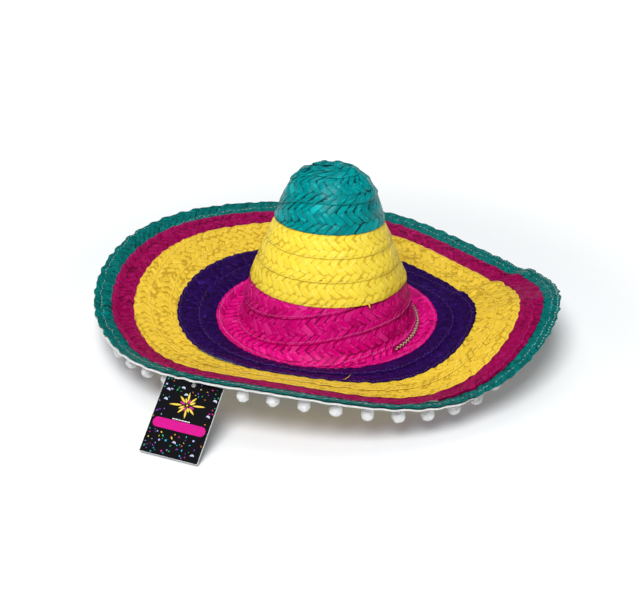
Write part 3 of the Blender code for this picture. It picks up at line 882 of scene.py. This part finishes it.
def braidPiece():
    count = int(2 * math.pi * rimRadius / (braid["loop"] / 6))
    angle = np.arange(count) * 2 * math.pi / count
    length = angle * rimRadius
    middle = -braid["gap"] - braid["thickness"] / 2
    points, faces, base = [], [], 0
    outer = braidEdge(angle)
    inner = outer - braid["width"]
    # a knitted band between two looped edge cords, and three cords worked along it
    t = inner[:, None] + np.linspace(0.5 * mm, braid["width"] - 0.5 * mm, 6)
    band = np.broadcast_arrays(t, angle[:, None])
    rib = 0.12 * mm * np.cos(length[:, None] * 4 * math.pi / braid["loop"] + (np.arange(6) % 2) * math.pi)
    top = onHat(band[0], band[1], middle + 0.22 * mm + rib)
    low = onHat(band[0], band[1], middle - 0.22 * mm - rib)
    ring = np.concatenate([low, top[:, ::-1]], axis=1)
    points.append(ring.reshape(-1, 3))
    faces += gridQuads(1, count, 12, wrapRows=True, wrapColumns=True).tolist()
    base += count * 12
    cords = (  # place, swing, phase and how far the cord hangs, as shares of the braid's own values
        (outer - 0.3 * mm, 1.0, 0.0, 0.5), (outer - 0.3 * mm, 1.0, math.pi, 1.0), (inner + 0.4 * mm, 0.5, 0.0, 0.0),
        (inner + 0.33 * braid["width"], 0.7, 1.0, 0.0), (inner + 0.66 * braid["width"], 0.7, 2.0, 0.0),
    )
    for place, reach, phase, hang in cords:
        wave = length * 2 * math.pi / braid["loop"] + phase
        along = place + reach * braid["reach"] * np.sin(wave)
        lift = middle - 0.15 * mm - hang * braid["hang"] + (0.25 + 0.2 * hang) * mm * np.cos(wave)
        path = onHat(along, angle, lift)
        up = hatNormal(along, angle)
        tangent = np.roll(path, -1, axis=0) - np.roll(path, 1, axis=0)
        tangent /= np.linalg.norm(tangent, axis=-1, keepdims=True)
        side = np.cross(tangent, up)
        turn = np.arange(5) * math.pi / 2.5
        thick = braid["cord"] * (1.0 if hang else 0.8)
        lifted = np.cross(side, tangent)
        tube = path[:, None] + thick * (np.cos(turn)[:, None] * side[:, None] + np.sin(turn)[:, None] * lifted[:, None])
        points.append(tube.reshape(-1, 3))
        faces += (gridQuads(1, count, 5, wrapRows=True, wrapColumns=True) + base).tolist()
        base += count * 5
    piece = makePiece("pom_pom_braid", np.concatenate(points), faces, whiteBraid)
    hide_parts("pom_pom_tape")


braidPiece()
print("braid made")

pom = {
    "radius": 6.2 * mm, "stemRadius": 0.75 * mm, "drop": 7.7 * mm,
    "kinds": 6, "fibres": 900, "fibreLength": 1.0 * mm, "fibreRadius": 0.11 * mm,
    "pressed": "pom_pom_34", "tagSlope": 29.0, "clear": 0.8 * mm,  # the tag swings up to this one
}


def pomMesh(kind):
    bm = bmesh.new()
    bmesh.ops.create_icosphere(bm, subdivisions=5, radius=1.0)
    seed = Vector((17.0 * kind, 5.0 * kind, 9.0))
    squash = Vector(chance.uniform(0.93, 1.05, 3))
    for vertex in bm.verts:
        way = vertex.co.normalized()
        lump = 0.09 * noise.noise(way * 1.3 + seed) + 0.05 * noise.noise(way * 3.1 + seed)
        tuft = 0.030 * noise.noise(way * 9.0 + seed) + 0.022 * noise.noise(way * 22.0 + seed)
        pear = 1 + 0.06 * way.z * math.sin(kind * 2.1)
        size = (1 + lump + tuft) * pom["radius"] * 0.97
        vertex.co = Vector((way.x * squash.x * pear, way.y * squash.y * pear, way.z * squash.z)) * size
        vertex.co.z -= pom["drop"]
    addFibres(bm)
    rings = []
    for height, radius in ((0.0, 1.0), (-0.4, 0.85), (-1.0, 0.8), (-1.8, 1.3), (-2.6, 1.9)):
        ring = []
        for a in np.linspace(0, 2 * math.pi, 13)[:-1]:
            wide = radius * pom["stemRadius"] * (1 + 0.12 * math.cos(3 * a + 5 * height))
            ring.append(bm.verts.new((wide * math.cos(a), wide * math.sin(a), height * mm)))
        rings.append(ring)
    for ring, after in zip(rings, rings[1:]):
        for i in range(12):
            j = (i + 1) % 12
            bm.faces.new((ring[i], ring[j], after[j], after[i]))
    bm.faces.new(rings[0])
    bm.faces.new(rings[-1][::-1])
    bmesh.ops.recalc_face_normals(bm, faces=bm.faces)
    mesh = bpy.data.meshes.new(f"pom_fluff_{kind}")
    bm.to_mesh(mesh)
    bm.free()
    mesh.shade_smooth()
    mesh.materials.append(whiteYarn)
    return mesh


def addFibres(bm):
    # cut ends of yarn standing off the ball
    roots = [vertex.co.copy() for vertex in bm.verts]
    centre = Vector((0, 0, -pom["drop"]))
    for index in chance.choice(len(roots), pom["fibres"], replace=False):
        root = roots[index]
        out = (root - centre).normalized()
        side = out.orthogonal().normalized()
        side.rotate(Matrix.Rotation(chance.uniform(0, 2 * math.pi), 3, out))
        length = pom["fibreLength"] * chance.uniform(0.35, 1.0)
        bend = side * length * chance.uniform(0.1, 0.5)
        across = out.cross(side)
        foot = root - out * 0.3 * mm
        rings = []
        for share, width in ((0.0, 1.0), (0.6, 0.8)):
            middle = foot + out * (length + 0.3 * mm) * share + bend * share**2
            thin = pom["fibreRadius"] * width
            rings.append([bm.verts.new(middle + (side * math.cos(a) + across * math.sin(a)) * thin) for a in (0, 2.094, 4.189)])
        tip = bm.verts.new(foot + out * (length + 0.3 * mm) + bend)
        for i in range(3):
            j = (i + 1) % 3
            bm.faces.new((rings[0][i], rings[0][j], rings[1][j], rings[1][i]))
            bm.faces.new((rings[1][i], rings[1][j], tip))
        bm.faces.new(rings[0][::-1])


def pressedMesh(mesh, name):
    # the side turned to the tag stays behind the card at the end of its swing
    hinge = joints["swing_tag"]
    yaw = math.atan2(hinge["axis"][1], hinge["axis"][0])
    facing = Matrix.Rotation(yaw, 3, "Z") @ Matrix.Rotation(math.radians(pom["tagSlope"]), 3, "X") @ Vector((0, 0, 1))
    offset = Vector(joints[name]["pos_m"]) - Vector(hinge["pos_m"])
    pressed = mesh.copy()
    for vertex in pressed.vertices:
        excess = facing.dot(vertex.co + offset) + pom["clear"]
        if excess > 0 and vertex.co.z < -2.2 * mm:
            vertex.co -= facing * excess
    return pressed


pomKinds = [pomMesh(kind) for kind in range(pom["kinds"])]
for name in sorted(node for node in frame["nodes"] if node.startswith("pom_pom_") and node != "pom_pom_tape"):
    kind = int(chance.integers(pom["kinds"]))
    piece = bpy.data.objects.new(name.replace("pom_pom", "pom_fluff"), pomKinds[kind])
    bpy.context.scene.collection.objects.link(piece)
    piece.location = joints[name]["pos_m"]
    piece.rotation_euler = Euler((0, 0, chance.uniform(0, 2 * math.pi)))
    if name == pom["pressed"]:
        piece.data = pressedMesh(piece.data, name)
        piece.rotation_euler = Euler((0, 0, 0))
    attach(piece, name)
    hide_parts(name)
print("pom-poms fluffed")


# swing tag and its nylon pin

tag = {
    "width": 59.0 * mm, "length": 74.0 * mm, "thickness": 0.8 * mm, "slope": 40.0,
    "holeInset": 3.6 * mm, "holeRadius": 1.9 * mm, "bleed": 0.35 * mm, "ink": 0.03 * mm,
    "card": (0.80, 0.80, 0.79), "black": (0.006, 0.006, 0.008), "bar": (0.62, 0.006, 0.25),
    "inks": ((0.02, 0.50, 0.72), (0.75, 0.20, 0.04), (0.20, 0.05, 0.45), (0.03, 0.45, 0.16),
             (0.85, 0.62, 0.08), (0.55, 0.02, 0.28), (0.40, 0.45, 0.80), (0.02, 0.42, 0.40)),
}


def cardMaterial(name, colour, rough, grain, shine=0.12):
    made, tree, shader = newMaterial(name)
    place = addNode(tree, "TexCoord").outputs["Object"]
    low = (*(0.82 * c for c in colour), 1)
    speck = groupNode(tree, fineGrain, Place=place, Low=low, Full=(*colour, 1), Scale=grain)
    tree.links.new(speck.outputs["Color"], shader.inputs["Base Color"])
    gloss = addNode(tree, "MapRange", None, i0=speck.outputs["Grain"], i1=0.3, i2=0.7, i3=rough - 0.05, i4=rough + 0.08)
    tree.links.new(gloss.outputs[0], shader.inputs["Roughness"])
    bump = addNode(tree, "Bump", None, Strength=0.08, Distance=0.0001, Height=speck.outputs["Grain"])
    tree.links.new(bump.outputs[0], shader.inputs["Normal"])
    shader.inputs["Specular IOR Level"].default_value = shine
    return made


def roundBar(halfWidth, halfHeight, radius, steps=8):
    corners = ((1, 1, 0), (-1, 1, 90), (-1, -1, 180), (1, -1, 270))
    outline = []
    for sx, sy, first in corners:
        for a in np.radians(np.linspace(first, first + 90, steps)):
            x, y = sx * (halfWidth - radius), sy * (halfHeight - radius)
            outline.append((x + radius * math.cos(a), y + radius * math.sin(a)))
    return outline


def circleOutline(radius, sides=20, first=0.0, last=360.0):
    turns = np.radians(np.linspace(first, last, sides, endpoint=last - first < 360))
    return [(radius * math.cos(a), radius * math.sin(a)) for a in turns]


def addSlab(bm, outline, centre, turn, low, high, material, hole=None):
    # a flat shape with a thickness, and an optional round hole
    cos, sin = math.cos(turn), math.sin(turn)
    spots = [(centre[0] + x * cos - y * sin, centre[1] + x * sin + y * cos) for x, y in outline]
    made = bmesh.new()
    loops = [spots] + ([hole] if hole else [])
    edges = []
    for loop in loops:
        verts = [made.verts.new((x, y, low)) for x, y in loop]
        edges += [made.edges.new((verts[i], verts[(i + 1) % len(verts)])) for i in range(len(verts))]
    bmesh.ops.triangle_fill(made, edges=edges, use_beauty=True, use_dissolve=not hole)
    grown = bmesh.ops.extrude_face_region(made, geom=made.faces[:])
    for item in grown["geom"]:
        if isinstance(item, bmesh.types.BMVert):
            item.co.z = high
    bmesh.ops.recalc_face_normals(made, faces=made.faces)
    number = {}
    for vertex in made.verts:
        number[vertex] = bm.verts.new(vertex.co)
    for face in made.faces:
        bm.faces.new([number[vertex] for vertex in face.verts]).material_index = material
    made.free()


def tagPiece():
    bm = bmesh.new()
    width, length = tag["width"], tag["length"]
    middle = (0.0, tag["holeInset"] - length / 2)
    hole = [(x, y) for x, y in circleOutline(tag["holeRadius"], 28)]
    half = tag["thickness"] / 2
    addSlab(bm, roundBar(width / 2, length / 2, 0.5 * mm, 4), middle, 0, -half, half, 0, hole)
    sheet = roundBar(width / 2 - tag["bleed"], length / 2 - tag["bleed"], 0.4 * mm, 4)
    wideHole = circleOutline(tag["holeRadius"] + 0.15 * mm, 28)
    front, top = half + tag["ink"], half + 2 * tag["ink"]
    addSlab(bm, sheet, middle, 0, half - 0.01 * mm, front, 1, wideHole)
    addSlab(bm, sheet, middle, 0, -half - tag["ink"], -half + 0.01 * mm, 1, wideHole)
    barPlace = (0.0, -0.595 * length + tag["holeInset"])
    addSlab(bm, roundBar(0.45 * width, 0.063 * length, 0.062 * length), barPlace, 0, half, top, 2)
    taken = [(0.0, 0.0, 5 * mm)]
    barBox = (0.45 * width, 0.085 * length)
    placed = 0
    while placed < 95:
        x = chance.uniform(-0.47, 0.47) * width
        y = middle[1] + chance.uniform(-0.475, 0.475) * length
        size = float(chance.choice((0.55, 0.7, 0.9, 1.2, 1.9, 2.6), p=(0.28, 0.26, 0.22, 0.14, 0.06, 0.04))) * mm
        if abs(x) < barBox[0] + size and abs(y - barPlace[1]) < barBox[1] + size:
            continue
        share = (tag["holeInset"] - y) / length
        if 0.20 < share < 0.52 and abs(x) < 0.33 * width:
            continue
        if abs(x) + size > width / 2 - 1 * mm or abs(y - middle[1]) + size > length / 2 - 1 * mm:
            continue
        if any((x - a) ** 2 + (y - b) ** 2 < (size + r + 0.5 * mm) ** 2 for a, b, r in taken):
            continue
        taken.append((x, y, size))
        ink = 3 + int(chance.integers(len(tag["inks"])))
        turn = chance.uniform(0, 2 * math.pi)
        shape = int(chance.integers(4))
        if size > 1.8 * mm:
            turn = chance.uniform(-0.3, 0.3)
            addSlab(bm, circleOutline(size, 18, 0, 180), (x, y), turn, half, top, 0)
            addSlab(bm, circleOutline(0.78 * size, 18, 0, 180), (x, y), turn, half, top + tag["ink"], 9)
        elif shape == 0:
            addSlab(bm, roundBar(size, 0.45 * size, 0.2 * size, 3), (x, y), turn, half, top, ink)
        elif shape == 1:
            addSlab(bm, [(a, 0.5 * b) for a, b in circleOutline(size, 14)], (x, y), turn, half, top, ink)
        else:
            addSlab(bm, circleOutline(0.8 * size, 14), (x, y), turn, half, top, ink)
        placed += 1
    addStreamers(bm, width, length, half, top)
    mesh = bpy.data.meshes.new("swing_tag_card")
    bm.to_mesh(mesh)
    bm.free()
    for look in [("tag_paper", tag["card"], 0.75, 1500.0), ("tag_black_film", tag["black"], 0.40, 700.0, 0.03),
                 ("tag_magenta_ink", tag["bar"], 0.35, 900.0)]:
        mesh.materials.append(cardMaterial(*look))
    for i, ink in enumerate(tag["inks"]):
        mesh.materials.append(cardMaterial(f"tag_ink_{i + 1}", ink, 0.35, 900.0))
    piece = bpy.data.objects.new("swing_tag_card", mesh)
    bpy.context.scene.collection.objects.link(piece)
    hinge = joints["swing_tag"]
    yaw = math.atan2(hinge["axis"][1], hinge["axis"][0])
    tilted = Matrix.Rotation(yaw, 4, "Z") @ Matrix.Rotation(math.radians(tag["slope"]), 4, "X")
    piece.matrix_world = Matrix.Translation(hinge["pos_m"]) @ tilted
    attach(piece, "swing_tag")
    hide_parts("swing_tag")


def addStreamers(bm, width, length, low, high):
    # a burst of tapered paper rays over a row of dashes, where such a tag has its largest print
    centre = (0.01 * width, tag["holeInset"] - 0.315 * length)
    for k in range(16):
        turn = 2 * math.pi * k / 16 + 0.12
        reach = (0.31, 0.17, 0.25, 0.15)[k % 4] * width * (1 - 0.32 * abs(math.sin(turn)))
        t = np.linspace(0.30, 1.0, 12)
        half = 0.95 * mm * np.sin(math.pi * (0.08 + 0.90 * (t - 0.30) / 0.70))
        outline = np.concatenate([np.stack([reach * t, -half], axis=-1), np.stack([reach * t, half], axis=-1)[::-1]])
        addSlab(bm, outline.tolist(), centre, turn, low, high, 7 if k % 4 != 3 else 8)
    addSlab(bm, circleOutline(0.9 * mm, 14), centre, 0, low, high, 7)
    for k in range(6):
        place = ((-0.13 + 0.052 * k) * width, tag["holeInset"] - 0.515 * length)
        addSlab(bm, roundBar(1.3 * mm, 0.45 * mm, 0.3 * mm, 3), place, 0, low, high, 0)


tagPiece()

pin = {"radius": 0.5 * mm, "head": 1.6 * mm, "headHeight": 0.8 * mm, "bead": 2.4 * mm}


def pinPiece():
    made, tree, shader = newMaterial("clear_nylon")
    place = addNode(tree, "TexCoord")
    haze = addNode(tree, "TexNoise", None, Vector=place.outputs["Object"], Scale=600.0, Detail=2.0)
    clear = mixNode(tree, haze.outputs["Fac"], (0.72, 0.73, 0.74, 1), (0.90, 0.90, 0.90, 1))
    tree.links.new(clear, shader.inputs["Base Color"])
    shader.inputs["Roughness"].default_value = 0.3
    shader.inputs["Transmission Weight"].default_value = 0.35
    lowest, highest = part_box("tag_pin")
    x, y = ((lowest[i] + highest[i]) / 2 for i in (0, 1))
    top, foot = highest[2], lowest[2]
    under = top - pin["headHeight"]
    outline = [(0.0, top), (pin["head"] - 0.2 * mm, top), (pin["head"], top - 0.25 * mm), (pin["head"] - 0.1 * mm, under),
               (pin["radius"] * 1.6, under - 0.2 * mm), (pin["radius"], under - 0.8 * mm)]
    centre = foot + pin["bead"]
    for a in np.linspace(math.asin(pin["radius"] / pin["bead"]), math.pi, 16):
        outline.append((pin["bead"] * math.sin(a), centre + pin["bead"] * math.cos(a)))
    outline[-1] = (0.0, foot)
    angle = np.arange(24) * math.pi / 12
    ring = np.array([[(x + r * math.cos(a), y + r * math.sin(a), z) for a in angle] for r, z in outline[1:-1]])
    count = len(ring)
    points = np.concatenate([ring.reshape(-1, 3), [(x, y, top), (x, y, foot)]])
    faces = gridQuads(1, count, 24, wrapColumns=True)[:, ::-1].tolist()
    faces += [[count * 24, i, (i + 1) % 24] for i in range(24)]
    faces += [[count * 24 + 1, (count - 1) * 24 + (i + 1) % 24, (count - 1) * 24 + i] for i in range(24)]
    piece = makePiece("tag_pin_nylon", points, faces, made)
    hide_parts("tag_pin")


pinPiece()
print("tag hung")


# floor, lights and camera

studio = {
    "floorDrop": 0.4 * mm, "floorSize": 14.0, "floorColour": (0.80, 0.80, 0.80),
    "room": (0.05, 0.05, 0.05), "zenith": 0.75, "horizon": 0.35, "key": 54.0, "top": 17.0, "fill": 2.2,
    # the floor's painted glow, though it is no lamp, weaker near the hat as a painted shadow
    "floorPaintedGlow": 1.0, "paintedShadowGlow": (0.105, 0.13, 0.145), "glowReach": (0.24, 0.90),
}
camera = {
    "distance": 1.3, "elevation": 28.5, "roll": 0.59, "lens": 68.0,
    "shift": (-0.01149, 0.03117),
}


def floorPiece():
    made, tree, shader = newMaterial("pale_floor_painted_glow")
    place = addNode(tree, "TexCoord")
    grain = addNode(tree, "TexNoise", None, Vector=place.outputs["Object"], Scale=6.0, Detail=3.0)
    base = studio["floorColour"]
    faint = (*(0.985 * c for c in base), 1)
    tree.links.new(mixNode(tree, grain.outputs["Fac"], (*base, 1), faint), shader.inputs["Base Color"])
    shader.inputs["Roughness"].default_value = 0.8
    shader.inputs["Specular IOR Level"].default_value = 0.1
    # painted glow: the floor glows though it is no lamp, dimmer near the hat as a painted shadow
    away = addNode(tree, "VectorMath", {"operation": "LENGTH"}, i0=place.outputs["Object"]).outputs["Value"]
    glow = mixNode(tree, rampNode(tree, away, *studio["glowReach"]), (*studio["paintedShadowGlow"], 1), (1, 1, 1, 1))
    tree.links.new(glow, shader.inputs["Emission Color"])
    shader.inputs["Emission Strength"].default_value = studio["floorPaintedGlow"]
    size = studio["floorSize"] / 2
    z = cadBox[0][2] - studio["floorDrop"]
    corners = [(-size, -size, z), (size, -size, z), (size, size, z), (-size, size, z)]
    piece = makePiece("floor", corners, [[0, 1, 2, 3]], made, body=None)


def addLight(name, place, size, power, colour=(1, 1, 1), aim=(0, 0, 0.05)):
    light = bpy.data.lights.new(name, "AREA")
    light.shape = "DISK"
    light.size = size
    light.energy = power
    light.color = colour
    holder = bpy.data.objects.new(name, light)
    holder.location = place
    holder.rotation_euler = (Vector(place) - Vector(aim)).to_track_quat("Z", "Y").to_euler()
    bpy.context.scene.collection.objects.link(holder)


def setStudio():
    floorPiece()
    world = bpy.data.worlds.new("white_room")
    world.use_nodes = True
    tree = world.node_tree
    way = addNode(tree, "TexCoord").outputs["Generated"]
    height = addNode(tree, "SeparateXYZ", None, i0=way).outputs[2]
    rising = {"interpolation_type": "SMOOTHSTEP"}
    glow = addNode(tree, "MapRange", rising, i0=height, i1=0.15, i2=0.85, i3=studio["horizon"], i4=studio["zenith"])
    seen = addNode(tree, "LightPath").outputs["Is Camera Ray"]
    shown = mixNode(tree, seen, (*studio["room"], 1), (1, 1, 1, 1))  # the room is plain white where it is seen
    tree.links.new(shown, tree.nodes["Background"].inputs["Color"])
    tree.links.new(mathNode(tree, "MAXIMUM", glow.outputs[0], seen), tree.nodes["Background"].inputs["Strength"])
    bpy.context.scene.world = world
    addLight("key_softbox", (-0.35, -1.35, 1.9), 1.2, studio["key"])
    addLight("top_softbox", (-0.25, 0.45, 2.1), 1.7, studio["top"])
    addLight("right_fill", (1.6, -0.6, 0.9), 1.2, studio["fill"])
    bpy.context.scene.view_settings.view_transform = "Standard"


def setCamera():
    holder = bpy.data.objects.new("camera", bpy.data.cameras.new("camera"))
    bpy.context.scene.collection.objects.link(holder)
    rise = math.radians(camera["elevation"])
    holder.location = (0, -camera["distance"] * math.cos(rise), camera["distance"] * math.sin(rise))
    turned = Matrix.Rotation(math.pi / 2 - rise, 3, "X") @ Matrix.Rotation(math.radians(camera["roll"]), 3, "Z")
    holder.rotation_euler = turned.to_euler()
    holder.data.lens = camera["lens"]
    holder.data.shift_x, holder.data.shift_y = camera["shift"]
    bpy.context.scene.camera = holder


setStudio()
setCamera()
print("studio set")
